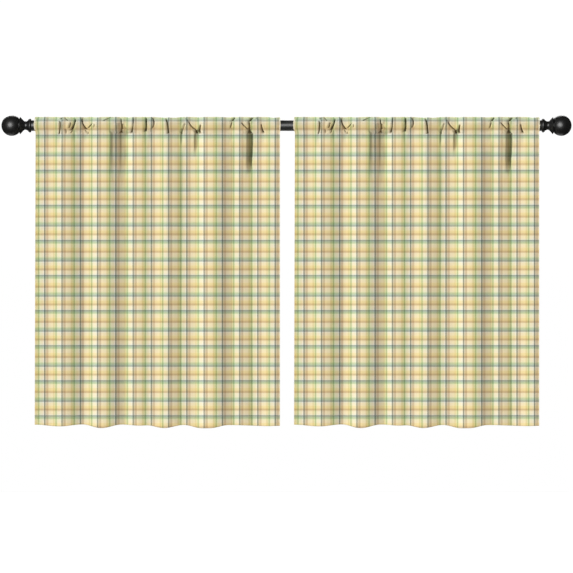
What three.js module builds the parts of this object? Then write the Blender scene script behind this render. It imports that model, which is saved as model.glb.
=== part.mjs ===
// A pair of rod-pocket tier curtains on one round rod with ball finials.
// Millimetres, +Z up, +X along the rod, the room side faces -Y.
// The origin is on the rod's axis, at the middle of the whole width.
import * as THREE from "three";

// Rod: a steel tube, closed at each end by a finial.
const OVERALL_WIDTH = 1406;
const ROD_RADIUS = 13.4;
const ROD_WALL = 1;
const FIT_GAP = 0.3;
const TURNED_SIDES = 28;

// Finial, with places along the rod counted inwards from the ball's outer end.
const BALL_RADIUS = 25.5;
const BALL_FLAT_AT = 42.2;
const TENON_RADIUS = 6;
const TENON_LENGTH = 12;
const COLLAR_BACK_RADIUS = 18.2;
const COLLAR_RIM = { at: 46.4, radius: 21.6 };
const COVE = { start: 54.5, end: 66, radius: 10.6, startRadius: 12.4, endRadius: 13.8 };
const BEAD = { at: 70.2, radius: 17.2, end: 73.6 };
const SPIGOT_LENGTH = 22;
const ARC_STEPS = 5;

// Panels, as hung. Both are cut, gathered and hung alike.
const PANEL_WIDTH = 602;
const PANEL_LENGTH = 762;
const PANEL_CENTRES = { panel_left: -317.2, panel_right: 321.7 };
const CLOTH = 1.2;
const LAYER_STEP = 1.6;
// How far the left side edge leans out on its way down; the right one hangs straight.
const EDGE_LEAN = -2.5;

// Rod pocket: the top of the panel passes over the rod and is sewn to its own back below it. The face
// hangs from the front of the rod, so the seam lies forward of the axis.
const POCKET_TOP = 21;
const SEAM_BELOW = 21;
const SEAM_FORWARD = 12;
const SEAM_ANGLE = Math.atan2(SEAM_FORWARD, SEAM_BELOW);
const SEAM_DISTANCE = Math.hypot(SEAM_FORWARD, SEAM_BELOW);
const SEAM_ALLOWANCE = 12;
const SEAM_HOLD_HEIGHT = 10;
const SEAM_HOLD_ANGLE = THREE.MathUtils.degToRad(30);
const MOUTH = { flare: 4, reach: 40 };
const GATHER_WIDTH = 8;
const GATHER_DRAW = 1;

// The pocket's front, from the seam to the top. up: above the rod's axis. out: in front of it.
const POCKET_FRONT = [
  { up: -SEAM_BELOW, out: SEAM_FORWARD },
  { up: -14, out: 13.3 },
  { up: -7, out: 15 },
  { up: 0, out: 17 },
  { up: 7, out: 18.8 },
  { up: 13, out: 17.8 },
  { up: 18.5, out: 10.8 },
  { up: POCKET_TOP, out: 0 },
];

// The pocket's back, round the rod.
const POCKET_RADIUS = 17.2;
const POCKET_PUFF = 2;
const CROWN_FROM = THREE.MathUtils.degToRad(110);

// Hem: turned up behind the face.
const HEM_TURN = 25;

// Folds of the face. They keep their shape where the cloth is double, behind the seam and at the hem.
// Between these they reach their depth within FOLD_START, and open a little towards the hem.
const FREE_LENGTH = PANEL_LENGTH - POCKET_TOP - SEAM_BELOW - SEAM_ALLOWANCE - 1.3 * HEM_TURN;
const FOLD_START = 45;
const FOLD_AT_SEAM = 0.45;
const FOLD_AT_HEM = 1.15;
const VALLEY_SHARPNESS = 0.7;

// Ridges and valleys of the face. at: from the panel's left edge. out: towards the room.
const FOLDS = [
  { at: 0, out: 0 },
  { at: 71, out: 7.5 },
  { at: 118, out: -3 },
  { at: 176, out: 5 },
  { at: 222, out: -8 },
  { at: 258, out: -3.2 },
  { at: 280, out: -5 },
  { at: 321, out: 3 },
  { at: 361, out: -6.5 },
  { at: 395, out: -2.6 },
  { at: 446, out: 7 },
  { at: 486, out: -5.2 },
  { at: 502, out: -3.8 },
  { at: 534, out: -8.6 },
  { at: 574, out: 2 },
  { at: PANEL_WIDTH, out: 0 },
];

// The hem line. drop: below the panel's nominal length.
const HEM_LINE = [
  { at: 0, drop: -3.5 },
  { at: 62, drop: 0.5 },
  { at: 118, drop: -4 },
  { at: 163, drop: 4.9 },
  { at: 214, drop: -3.7 },
  { at: 258, drop: -1 },
  { at: 276, drop: -1.6 },
  { at: 317, drop: 4.9 },
  { at: 366, drop: -2.5 },
  { at: 412, drop: 5.5 },
  { at: 430, drop: 5.2 },
  { at: 475, drop: -2.4 },
  { at: 576, drop: 0 },
  { at: PANEL_WIDTH, drop: -0.7 },
];

// Places where the pocket is drawn in on the rod.
const GATHERS = [57, 95, 119, 205, 236, 269, 291, 324, 395, 484, 526, 563];

// Troughs that run down from a gather. reach: length below the seam allowance.
const TROUGHS = [
  { at: 212, width: 20, depth: 6, reach: 90 },
  { at: 395, width: 9, depth: 3.5, reach: 45 },
  { at: 532, width: 11, depth: 9, reach: 85 },
];

// Grid of the panel solids.
const WIDEST_STEP = 17;
const NARROWEST_STEP = 7;
const FACE_ROWS = 7;
const BACK_ROWS = 5;

const blackPaint = new THREE.MeshStandardMaterial({ color: 0x1b1b1d, roughness: 0.38, metalness: 0.3 });
const plaidCloth = new THREE.MeshStandardMaterial({ color: 0xdccda2, roughness: 0.9, metalness: 0 });

const ease = (t) => (1 - Math.cos(Math.PI * THREE.MathUtils.clamp(t, 0, 1))) / 2;
const bell = (t) => Math.exp(-t * t);

// Goes from 0 to 1, level at the ridge (t = 0) and still falling at the valley (t = 1).
function ridgeToValley(t) {
  const sharp = 1 - Math.cos((Math.PI * t) / 2);
  return THREE.MathUtils.lerp(ease(t), sharp, VALLEY_SHARPNESS);
}

// Reads a table's column at x, with a given shape between the rows on either side.
function readTable(table, column, x, shape) {
  const next = Math.max(1, table.findIndex((row) => row.at >= x));
  const [a, b] = [table[next - 1], table[next]];
  const t = (x - a.at) / (b.at - a.at);
  return THREE.MathUtils.lerp(a[column], b[column], shape(t, a[column] > b[column]));
}

const foldShape = (t, falling) => (falling ? ridgeToValley(t) : 1 - ridgeToValley(1 - t));

// How far the face stands towards the room at x, at a depth below the seam.
function faceOut(x, depth) {
  const free = THREE.MathUtils.clamp(depth - SEAM_ALLOWANCE, 0, FREE_LENGTH);
  const opening = THREE.MathUtils.lerp(FOLD_AT_SEAM, 1, ease(free / FOLD_START));
  const spread = THREE.MathUtils.lerp(1, FOLD_AT_HEM, free / FREE_LENGTH);
  let out = readTable(FOLDS, "out", x, foldShape) * opening * spread;
  for (const trough of TROUGHS) {
    out -= trough.depth * bell((x - trough.at) / trough.width) * (1 - ease(free / trough.reach));
  }
  return out;
}

// 1 at a gather, 0 well away from all of them.
function gathered(x) {
  return Math.max(...GATHERS.map((at) => bell((x - at) / GATHER_WIDTH)));
}

// A point of the pocket's front, in one row of its profile.
function pocketFront({ up, out }, x) {
  const held = 1 - ease((up + SEAM_BELOW) / SEAM_HOLD_HEIGHT);
  const loose = Math.sin((Math.PI * (up + SEAM_BELOW)) / (POCKET_TOP + SEAM_BELOW)) ** 2;
  const toEdge = Math.min(x, PANEL_WIDTH - x);
  const flare = MOUTH.flare * Math.max(0, 1 - toEdge / MOUTH.reach) ** 2 * loose;
  const outwards = x < PANEL_WIDTH / 2 ? -1 : 1;
  const drawn = GATHER_DRAW * gathered(x) * loose;
  const y = drawn - out - LAYER_STEP / 2 - held * faceOut(x, 0);
  return new THREE.Vector3(x + outwards * flare, y, up);
}

// A point of the pocket's back, at an angle up from straight below the axis, away from the room:
// straight from the seam to where it meets the round stretch, and then rising to the crown.
function pocketBack(angle, x) {
  const fromSeam = angle + SEAM_ANGLE;
  const seamAngle = Math.asin(POCKET_RADIUS / SEAM_DISTANCE);
  const straight = (SEAM_DISTANCE * Math.sin(seamAngle)) / Math.sin(seamAngle + fromSeam);
  const round = fromSeam < Math.PI / 2 - seamAngle ? straight : POCKET_RADIUS;
  const crown = ease((angle - CROWN_FROM) / (Math.PI - CROWN_FROM));
  const puff = POCKET_PUFF * (1 - gathered(x)) * Math.sin(Math.max(angle, 0) / 2) ** 2;
  const radius = round + (POCKET_TOP - POCKET_RADIUS - POCKET_PUFF) * crown + puff;
  const held = 1 - ease(fromSeam / SEAM_HOLD_ANGLE);
  const y = radius * Math.sin(angle) + LAYER_STEP / 2 - held * faceOut(x, 0);
  return new THREE.Vector3(x, y, -radius * Math.cos(angle));
}

// A point of a hanging layer. layer is 0 for the face and 1 for what is turned behind it.
function hangingPoint(x, z, layer) {
  const depth = -SEAM_BELOW - z;
  const lean = (EDGE_LEAN * (1 - x / PANEL_WIDTH) * depth) / PANEL_LENGTH;
  const y = (layer - 0.5) * LAYER_STEP - SEAM_FORWARD - faceOut(x, depth);
  return new THREE.Vector3(x + lean, y, z);
}

// The middle of the cloth at x, from the hem's turned edge, down, up the face and over the rod
// to the edge that is sewn behind the face.
function clothPath(x) {
  const hemZ = POCKET_TOP - PANEL_LENGTH - readTable(HEM_LINE, "drop", x, ease) + CLOTH / 2;
  const singleTop = -SEAM_BELOW - SEAM_ALLOWANCE;
  const singleLength = singleTop - hemZ - HEM_TURN;
  const path = [hangingPoint(x, hemZ + HEM_TURN, 1), hangingPoint(x, hemZ + LAYER_STEP / 2, 1)];
  path.push(hangingPoint(x, hemZ, 0.5), hangingPoint(x, hemZ + LAYER_STEP / 2, 0));
  for (let row = FACE_ROWS; row >= 0; row -= 1) {
    path.push(hangingPoint(x, singleTop - singleLength * (row / FACE_ROWS) ** 2, 0));
  }
  for (const row of POCKET_FRONT) {
    path.push(pocketFront(row, x));
  }
  for (let row = BACK_ROWS; row >= 0; row -= 1) {
    path.push(pocketBack(((Math.PI + SEAM_ANGLE) * row) / BACK_ROWS - SEAM_ANGLE, x));
  }
  path.push(hangingPoint(x, singleTop, 1));
  return path;
}

// Stations across the panel: every ridge, valley and gather, and steps between them.
function stations() {
  const turns = FOLDS.map((fold) => fold.at);
  const places = [...turns];
  for (const at of GATHERS) {
    if (places.every((place) => Math.abs(place - at) >= NARROWEST_STEP)) {
      places.push(at);
    }
  }
  places.sort((a, b) => a - b);
  const across = [0];
  for (let i = 1; i < places.length; i += 1) {
    const span = places[i] - places[i - 1];
    const steps = Math.ceil(span / WIDEST_STEP);
    for (let step = 1; step <= steps; step += 1) {
      across.push(places[i - 1] + (span * step) / steps);
    }
  }
  return across;
}

// Gives a grid of points the cloth's thickness, as one closed sheet.
function sheetGeometry(paths) {
  const columns = paths.length;
  const rows = paths[0].length;
  const face = [];
  const reverse = [];
  for (let column = 0; column < columns; column += 1) {
    for (let row = 0; row < rows; row += 1) {
      const point = paths[column][row];
      const before = paths[column][Math.max(row - 1, 0)];
      const after = paths[column][Math.min(row + 1, rows - 1)];
      const along = after.clone().sub(before);
      const normal = new THREE.Vector3(0, -along.z, along.y).setLength(CLOTH / 2);
      face.push(point.clone().add(normal));
      reverse.push(point.clone().sub(normal));
    }
  }
  const index = [];
  const quad = (a, b, c, d) => index.push(a, b, c, a, c, d);
  const faceAt = (column, row) => column * rows + row;
  const reverseAt = (column, row) => faceAt(column, row) + columns * rows;
  for (let column = 0; column < columns - 1; column += 1) {
    for (let row = 0; row < rows - 1; row += 1) {
      const corners = [[column, row], [column + 1, row], [column + 1, row + 1], [column, row + 1]];
      // Layers that lie together are split along the same diagonal, whichever way the path runs.
      if (paths[column][row + 1].z < paths[column][row].z) {
        corners.push(corners.shift());
      }
      const [a, b, c, d] = corners;
      quad(faceAt(...a), faceAt(...b), faceAt(...c), faceAt(...d));
      quad(reverseAt(...a), reverseAt(...d), reverseAt(...c), reverseAt(...b));
    }
    const [start, end] = [0, rows - 1];
    const [here, next] = [column, column + 1];
    quad(faceAt(here, start), reverseAt(here, start), reverseAt(next, start), faceAt(next, start));
    quad(faceAt(next, end), reverseAt(next, end), reverseAt(here, end), faceAt(here, end));
  }
  for (let row = 0; row < rows - 1; row += 1) {
    const [left, right] = [0, columns - 1];
    quad(faceAt(left, row), faceAt(left, row + 1), reverseAt(left, row + 1), reverseAt(left, row));
    quad(faceAt(right, row + 1), faceAt(right, row), reverseAt(right, row), reverseAt(right, row + 1));
  }
  const geometry = new THREE.BufferGeometry().setFromPoints([...face, ...reverse]);
  geometry.setIndex(index);
  geometry.computeVertexNormals();
  return geometry;
}

function panel(name) {
  const mesh = new THREE.Mesh(sheetGeometry(stations().map(clothPath)), plaidCloth);
  mesh.name = name;
  mesh.position.x = PANEL_CENTRES[name] - PANEL_WIDTH / 2;
  return mesh;
}

// A closed profile of (radius, place along the axis), turned about the rod's axis.
function turned(name, profile) {
  const mesh = new THREE.Mesh(new THREE.LatheGeometry(profile, TURNED_SIDES), blackPaint);
  mesh.name = name;
  return mesh;
}

// A finial piece with its places counted inwards from the outer end. side is -1 at the left, 1 at the right.
function atRodEnd(mesh, side) {
  mesh.position.x = (side * OVERALL_WIDTH) / 2;
  mesh.rotation.z = (side * Math.PI) / 2;
  return mesh;
}

function rod() {
  const half = OVERALL_WIDTH / 2 - BEAD.end - FIT_GAP;
  const bore = ROD_RADIUS - ROD_WALL;
  const corners = [[bore, -half], [ROD_RADIUS, -half], [ROD_RADIUS, half], [bore, half], [bore, -half]];
  const mesh = turned("rod", corners.map(([x, y]) => new THREE.Vector2(x, y)));
  mesh.rotation.z = -Math.PI / 2;
  return mesh;
}

function finialBall(name, side) {
  const flatAngle = Math.asin((BALL_FLAT_AT - BALL_RADIUS) / BALL_RADIUS);
  const socketEnd = BALL_FLAT_AT - TENON_LENGTH - FIT_GAP;
  const outline = new THREE.Path();
  outline.absarc(0, BALL_RADIUS, BALL_RADIUS, -Math.PI / 2, flatAngle, false);
  outline.lineTo(TENON_RADIUS + FIT_GAP, BALL_FLAT_AT);
  outline.lineTo(TENON_RADIUS + FIT_GAP, socketEnd);
  outline.lineTo(0, socketEnd);
  return atRodEnd(turned(name, outline.getPoints(ARC_STEPS)), side);
}

function finialNeck(name, side) {
  const backAt = BALL_FLAT_AT + FIT_GAP;
  const spigotRadius = ROD_RADIUS - ROD_WALL - FIT_GAP;
  const outline = new THREE.Path();
  outline.moveTo(0, backAt - TENON_LENGTH);
  outline.lineTo(TENON_RADIUS, backAt - TENON_LENGTH);
  outline.lineTo(TENON_RADIUS, backAt);
  outline.lineTo(COLLAR_BACK_RADIUS, backAt);
  outline.quadraticCurveTo(COLLAR_BACK_RADIUS + 0.8, COLLAR_RIM.at - 2.4, COLLAR_RIM.radius, COLLAR_RIM.at);
  outline.lineTo(COVE.startRadius, COVE.start);
  outline.bezierCurveTo(
    COVE.radius - 0.7, COVE.start + 3, COVE.radius - 0.7, COVE.end - 5, COVE.endRadius, COVE.end,
  );
  outline.quadraticCurveTo(BEAD.radius, COVE.end + 2, BEAD.radius, BEAD.at);
  outline.quadraticCurveTo(BEAD.radius, BEAD.end, ROD_RADIUS, BEAD.end);
  outline.lineTo(spigotRadius, BEAD.end);
  outline.lineTo(spigotRadius, BEAD.end + SPIGOT_LENGTH);
  outline.lineTo(0, BEAD.end + SPIGOT_LENGTH);
  return atRodEnd(turned(name, outline.getPoints(ARC_STEPS)), side);
}

const curtains = new THREE.Group();
curtains.add(rod());
curtains.add(finialNeck("finial_neck_left", -1), finialNeck("finial_neck_right", 1));
curtains.add(finialBall("finial_ball_left", -1), finialBall("finial_ball_right", 1));
curtains.add(panel("panel_left"), panel("panel_right"));

export default curtains;
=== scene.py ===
"""Plaid rod-pocket tier curtains on a black rod with ball finials: the looks, built round the CAD frame.

Shapes are worked out in millimetres in the shared frame (+X along the rod, -Y towards the room, +Z up,
the origin on the rod's axis) and become metres when a mesh is made.
"""
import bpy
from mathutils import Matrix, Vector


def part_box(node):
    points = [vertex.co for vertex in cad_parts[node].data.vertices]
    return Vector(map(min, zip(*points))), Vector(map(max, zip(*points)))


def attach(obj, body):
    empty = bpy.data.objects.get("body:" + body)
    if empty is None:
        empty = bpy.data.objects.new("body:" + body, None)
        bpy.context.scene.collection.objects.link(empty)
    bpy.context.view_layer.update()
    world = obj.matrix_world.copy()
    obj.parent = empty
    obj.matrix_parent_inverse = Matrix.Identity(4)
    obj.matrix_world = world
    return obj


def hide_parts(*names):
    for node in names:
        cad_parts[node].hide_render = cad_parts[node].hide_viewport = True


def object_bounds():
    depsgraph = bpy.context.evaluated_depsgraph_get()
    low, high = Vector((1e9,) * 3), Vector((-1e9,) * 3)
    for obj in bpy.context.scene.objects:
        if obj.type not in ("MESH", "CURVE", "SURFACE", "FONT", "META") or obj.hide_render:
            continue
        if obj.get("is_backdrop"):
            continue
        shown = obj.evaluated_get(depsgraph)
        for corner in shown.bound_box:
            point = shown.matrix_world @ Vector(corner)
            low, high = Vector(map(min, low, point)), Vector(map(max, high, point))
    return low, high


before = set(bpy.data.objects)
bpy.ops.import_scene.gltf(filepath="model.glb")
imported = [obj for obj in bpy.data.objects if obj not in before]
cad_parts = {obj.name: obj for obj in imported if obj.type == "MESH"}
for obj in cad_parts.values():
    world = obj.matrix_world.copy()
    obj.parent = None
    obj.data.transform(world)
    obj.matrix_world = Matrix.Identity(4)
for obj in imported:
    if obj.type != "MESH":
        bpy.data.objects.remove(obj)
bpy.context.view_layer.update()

from types import SimpleNamespace

import bpy
import numpy as np
from mathutils import Vector

MM = 0.001

# ---- sizes, in millimetres

# Panels, as hung, and in metres as laid flat. The plaid's phase is where it starts from the left edge.
PANEL_WIDTH = 602
PANEL_LENGTH = 762
PLAID_PHASE = 22.6
CLOTH = 0.5
LAYER_STEP = 0.9
EDGE_LEAN = -2.5

# Rod pocket.
POCKET_TOP = 21
SEAM_BELOW = 21
SEAM_FORWARD = 12
SEAM_ANGLE = np.arctan2(SEAM_FORWARD, SEAM_BELOW)
SEAM_DISTANCE = np.hypot(SEAM_FORWARD, SEAM_BELOW)
POCKET_RADIUS = 17.9
POCKET_PUFF = 1.5
PUFF_LOST_AT_GATHER = 0.6
GATHER_DRAW = 0.9
BACK_GATHER_DRAW, BACK_GATHER_SHIFT = 1.1, 9
CROWN_FROM = np.radians(110)
SEAM_ALLOWANCE = 12
SEAM_HOLD_HEIGHT = 12
SEAM_HOLD_ANGLE = np.radians(30)
SEAM_SKEW = 6
MOUTH_FLARE_LEFT, MOUTH_FLARE_RIGHT = 4.4, 1.5
MOUTH_REACH = 40
MOUTH_LIP_FROM, MOUTH_LIP_TO = np.radians((50, 135))
GATHER_WIDTH = 8
ROD_CLEARANCE = 14.0
FOLD_CLEARANCE = 0.4

# Hems: the bottom one is turned up once, the side ones are a thicker strip on the reverse.
HEM_TURN = 25
HEM_STITCH = 23.3
SIDE_HEM = 10
SIDE_STITCH = 9
SIDE_THICKER = 0.9

# How deep the stitches draw the cloth in, and half of how wide: at the pocket's seam, the bottom hem
# and the side hems.
GROOVES = ((0.35, 1.1), (0.22, 0.8), (0.2, 0.7))

# Folds, which hang free between what is sewn at the top and at the foot. They sway a little on the
# way down, and the cloth puckers along the seam and the side hems.
FACE_LENGTH = PANEL_LENGTH - POCKET_TOP - SEAM_BELOW
FREE_LENGTH = FACE_LENGTH - SEAM_ALLOWANCE - 1.3 * HEM_TURN
FOLD_START = 45
FOLD_AT_SEAM = 0.45
FOLD_AT_HEM = 1.15
VALLEY_SHARPNESS = 0.7
SWAY, SWAY_DOWN, SWAY_ACROSS = 1.8, 140, 90
SEAM_PUCKER, SEAM_PUCKER_WAVE, SEAM_PUCKER_REACH = 0.4, 2.6, 11
SIDE_PUCKER, SIDE_PUCKER_WAVE, SIDE_PUCKER_REACH = 0.35, 6.5, 9
SIDE_PUCKER_START, SIDE_PUCKER_SKEW = 60, 3

# Rod and finials, with places along the rod counted inwards from the ball's outer end.
ROD_RADIUS = 13.4
ROD_WALL = 1
FIT_GAP = 0.3
BALL_RADIUS = 25.5
BALL_FLAT_AT = 42.2
BALL_STEPS = 56
TENON_RADIUS = 6
TENON_LENGTH = 12
COLLAR_BACK_RADIUS = 18.2
COLLAR_LIP_RADIUS = 17.7
COLLAR_RIM_AT, COLLAR_RIM_RADIUS = 46.4, 21.6
COVE_START, COVE_START_RADIUS = 54.5, 12.4
COVE_RADIUS = 10.6
COVE_END, COVE_END_RADIUS = 66.0, 13.8
BEAD_AT, BEAD_RADIUS, BEAD_END = 70.2, 17.2, 73.6
SPIGOT_LENGTH = 22
EDGE_ROUND = 0.35
EDGE_ROUND_SHARE = 0.45
NEARLY_STRAIGHT = -0.97
ON_AXIS = 1e-6

# The small lip at the collar's back, as (out from its radius, along from the back).
COLLAR_LIP = ((0, 0), (0.4, 0.3), (0.5, 0.8), (0.3, 1.2), (-0.7, 1.5), (-0.7, 2.0))

# Stitches.
STITCH_PITCH = 3.0
STITCH_LENGTH = 2.2
THREAD_RADIUS = 0.22

# A stitch's rings, as (share of its length, share of the thread's thickness, rise off the cloth).
STITCH_RINGS = ((0, 0.35, -0.5), (0.2, 1, 0.3), (0.8, 1, 0.3), (1, 0.35, -0.5))
STITCH_SIDES = 5

# Columns of the cloth's grid: those at the side edges, the fine ones between them, closest at the
# creases, and the coarse ones, closest at the ledges. Rows at PLAIN_COLUMN measure the cloth's length.
EDGE_COLUMNS = (0, 0.7, 3, 6, 8.3, SIDE_STITCH, 9.7, SIDE_HEM + 0.1)
FINE_STEP, FINE_STEP_MOST, FINE_STEP_GROWTH, CREASE_MARGIN = 0.78, 4.0, 0.3, 2.2
COARSE_STEP, LEDGE_STEP, LEDGE_MARGIN, LEDGE_RISE_MOST = 4.2, 1.3, 2, 6
PLAIN_COLUMN = PANEL_WIDTH * 0.73
LEAST_RISE_SHARE = 0.6

# Rows of the grid, from the hem's turned edge, down, up the face and over the rod to the edge sewn
# behind the face: a name, whether they have the fine columns, and where they lie: height above the
# hem, depth below the seam, or angle from straight down.
ROWS = (
    ("turn", False, (HEM_TURN, 24.5, 24, HEM_STITCH, 22.6, 18, 12, 6, 2)),
    ("bend", False, np.radians((180, 135, 90, 45, 0))),
    ("face", False, FACE_LENGTH - np.array((2, 6, 12, 18, 22.6, HEM_STITCH, 24, 26, 32))),
    ("face", False, np.linspace(FACE_LENGTH - 48, 66, 36)),
    ("face", False, (58, 51, 45, 39, 34)),
    ("face", True, (29, 24, 19, 15, 11.5, 8.5, 6, 4, 2.4, 1.2)),
    ("front", True, np.linspace(SEAM_ANGLE, np.pi, 48)),
    ("back", False, np.radians((170, 158, 145, 130, 115, 100, 85, 70, 55, 40, 26, 12, 0, -12, -22))),
    ("back", False, (-SEAM_ANGLE,)),
    ("under", False, (1.2, 3, 7, 11.5, SEAM_ALLOWANCE)),
)

# The bake map's gaps, and the width of its strips for the edges.
BAKE_GAP, BAKE_STRIP = 8, 3


def table(columns, *rows):
    """A short table with named columns, as arrays."""
    return SimpleNamespace(**dict(zip(columns.split(), np.array(rows, float).T)))


def rows_of(made):
    """The table's rows, each with its columns as attributes."""
    names = list(vars(made))
    return [SimpleNamespace(**dict(zip(names, row))) for row in zip(*vars(made).values())]


# Ridges and valleys of the face. at: from the panel's left edge. out: towards the room.
FOLDS = table(
    "at out",
    (0, 0), (71, 7.5), (118, -3), (176, 5), (222, -8), (258, -3.2), (280, -5.0), (321, 3),
    (361, -6.5), (395, -2.6), (446, 7), (486, -5.2), (502, -3.8), (534, -8.6), (574, 2),
    (PANEL_WIDTH, 0),
)

# Ridges and valleys of the pocket's front, which die out towards its top.
POCKET_FOLDS = table(
    "at out",
    (0, 0), (71, 3.6), (118, -1.2), (176, 2.6), (222, -3.6), (258, -1.5), (280, -2.4), (321, 1.8),
    (361, -3.4), (395, -1.2), (446, 4.4), (486, -3.4), (502, -2), (534, -3.6), (562, 0.5),
    (PANEL_WIDTH, -4),
)
POCKET_FOLD_HIGH, POCKET_FOLD_ENDS = np.radians(100), np.radians(150)

# The hem line. drop: below the panel's nominal length.
HEM_LINE = table(
    "at drop",
    (0, -3.5), (62, 0.5), (118, -4), (163, 4.9), (214, -3.7), (258, -1), (276, -1.6), (317, 4.9),
    (366, -2.5), (412, 5.5), (430, 5.2), (475, -2.4), (576, 0), (PANEL_WIDTH, -0.7),
)

# Places where the pocket is drawn in on the rod.
GATHERS = [57, 95, 119, 205, 236, 269, 291, 324, 395, 484, 526, 563]

# Soft troughs that run down from a gather. left, right: how wide each side is.
TROUGHS = table(
    "at left right depth reach",
    (61, 7, 7, 1.6, 24), (97, 6, 8, 1.2, 18), (125, 5, 6, 0.9, 16), (240, 6, 5, 1, 18),
    (273, 6, 6, 1.4, 22), (287, 9, 6, 2.8, 34), (352, 16, 8, 3, 60), (482, 7, 6, 1.2, 20),
    (563, 5, 6, 1, 18),
)

# Ledges under the pocket, where the cloth drops back between two places and comes out again beyond
# them. hold and reach: how far below the seam one keeps its depth, and where it has died out. lean:
# how far its low line has moved by then.
LEDGES = table(
    "start low back depth hold reach lean",
    (184, 191.2, 50, 5.9, 8, 140, 0),
    (193, 206.5, 60, 4.8, 12, 85, 0),
    (206.5, 213.5, 34, 6.4, 22, 140, 0),
    (322.5, 329, 20, 1.4, 60, 400, 0),
    (356.3, 361, 8, 3, 3, 24, 0),
    (389.8, 396.5, 28, 5.4, 5, 52, -1),
    (511, 519.2, 60, 1.6, 40, 70, 0),
    (519, 535.2, 2.2, 14, 44, 96, -5),
)
LEDGE_ROUND = 0.1
LEDGE_HOLLOW = 1.35
# Shade painted into the colour where a ledge falls steeply: the most of it, the slope where it starts,
# and how much more slope it takes to be full.
LEDGE_SHADE = 0.52
SHADE_FROM_SLOPE, SHADE_OVER_SLOPE = 0.3, 0.6

# Narrow creases of the pocket's front, each from its top to its low end. bow: sideways at the middle.
# wide: about half of its width. spread: how much wider it is at the low end.
CREASES = table(
    "top_at top_z low_at low_z bow wide deep spread",
    (63.2, 20.5, 62.8, 15, 0, 1.6, 3.4, 0),
    (60, 9.5, 58, -22, 1, 2, 5, -0.25),
    (72, 18.5, 79, 11.5, 0.5, 1.4, 3.2, 0),
    (86.3, 7, 81.8, -6.5, 0, 1.6, 3.2, 0.2),
    (98.6, 15, 87.3, -12.3, 1.4, 1.8, 5.2, 1),
    (92, -8, 87.5, -18.5, 0, 1.5, 3, 0),
    (114.5, 16.5, 125, -10, -3.2, 1.7, 5.2, 1),
    (138.5, 3.5, 131, -6, 0, 1.5, 3.6, 0),
    (145, 2.5, 144, -4.5, 0, 1.2, 2, 0),
    (122.5, -11.5, 125.3, -18, 0, 1.2, 2.6, 0),
    (129.6, -16, 128, -25, 0, 1.3, 2.2, 0),
    (73.6, -10, 75.6, -19, 0, 1.8, 1.8, 0),
    (188, 20.5, 168.4, 11.5, -2, 1.4, 3.7, 0),
    (210.5, 16, 210, -19, 0.5, 1.5, 5, 1.7),
    (210.5, -10, 204.5, -19, 0, 2.2, 4, 0),
    (214.5, 4, 218, -9, 0, 3, 1.7, 0.5),
    (204.5, 5, 203, -8, 0, 2.4, 1.2, 0.2),
    (240.2, 19, 235.5, -18, 1.4, 1.5, 5, 0.7),
    (272.3, 19, 269.5, -15, 1.2, 2, 5.2, 0.8),
    (287.8, 19, 287.8, -6, 3.6, 1.7, 3.8, 0),
    (321.5, 16.5, 326.3, -26, 1.4, 2.1, 5.2, 0.5),
    (368, 5, 360, -15, 0, 1.6, 2.4, 0.3),
    (360, -13, 359.5, -24, 0, 1.8, 2.4, 0),
    (369, 18.5, 377.5, 8, 0, 1.4, 1.8, 0),
    (377.5, 8.5, 396, -13, -3, 1.6, 5, 1.2),
    (392, -9, 397.5, -23, 0, 3, 5.5, 0),
    (394, -11, 408, -17.8, 0, 1.7, 4.2, 0),
    (406.3, 1, 405.5, -18.5, -1.2, 1.7, 4.4, 0.5),
    (491, 20, 484.5, 11.5, 0, 2.4, 4.8, 0),
    (482.8, 7.5, 479.5, -6, 0, 1.6, 4.2, 0),
    (507.5, 6.5, 521.5, -10.5, -0.5, 1.7, 4.4, 0),
    (534.5, 20, 526, 10.5, 0, 3.3, 5.4, 0),
    (525, 8.5, 524.5, -20, 0.8, 2.5, 5.4, 0.8),
    (546.3, 20, 545.5, 16, 0, 1.3, 2.4, 0),
    (556, 2.5, 561, -18, -0.8, 1.5, 4.8, 0.9),
)
CREASE_END = 2.5
CREASE_WIDER = 1.55
CREASE_EDGE, CREASE_STEEPNESS = 0.75, 5
CREASE_PINCH, CREASE_PINCH_FROM, CREASE_PINCH_REACH, CREASE_PINCH_FULL = 0.25, 0.35, 3.0, 4
CREASE_LEAN = 0.45
CREASE_LIP, CREASE_LIP_AT, CREASE_LIP_OUTSIDE = 0.7, 2.0, 0.6
# How deep a crease is where the shade painted into its colour is full.
CREASE_FULL = 4.4
CREASE_MOST_OF_RADIUS = 0.85
CREASE_LEAST_ANGLE = np.radians(75)
CREASE_LIFT = 0.6

# Dips of the pocket's top line.
TOP_DIPS = table(
    "at wide deep",
    (63, 5, 0.5), (92, 6, 0.5), (121, 9, 0.8), (152, 8, 1.2), (228, 7, 0.9), (304, 8, 0.8),
    (316, 9, 1.8), (341, 14, 2.2), (402, 7, 1.1), (474, 12, 1.0), (531, 5, 0.8), (588, 12, 2.2),
)


# ---- shape of a panel

def ease(t):
    return (1 - np.cos(np.pi * np.clip(t, 0, 1))) / 2


def bell(t):
    return np.exp(-t * t)


def mix(a, b, t):
    return a + (b - a) * t


def unit(vectors):
    return vectors / np.maximum(np.linalg.norm(vectors, axis=-1, keepdims=True), 1e-9)


def steps_along(points):
    """The lengths between points in a line, and how far along it each one is."""
    steps = np.linalg.norm(np.diff(points, axis=0), axis=1)
    return steps, np.append(0, np.cumsum(steps))


def to_edge(x):
    """How far x is from the nearer side edge."""
    return np.minimum(x, PANEL_WIDTH - x)


def ridge_to_valley(t):
    """From 0 to 1, level at the ridge (t = 0) and still falling at the valley (t = 1)."""
    return mix(ease(t), 1 - np.cos(np.pi * t / 2), VALLEY_SHARPNESS)


def fold_shape(t, falling):
    return np.where(falling, ridge_to_valley(t), 1 - ridge_to_valley(1 - t))


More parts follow.
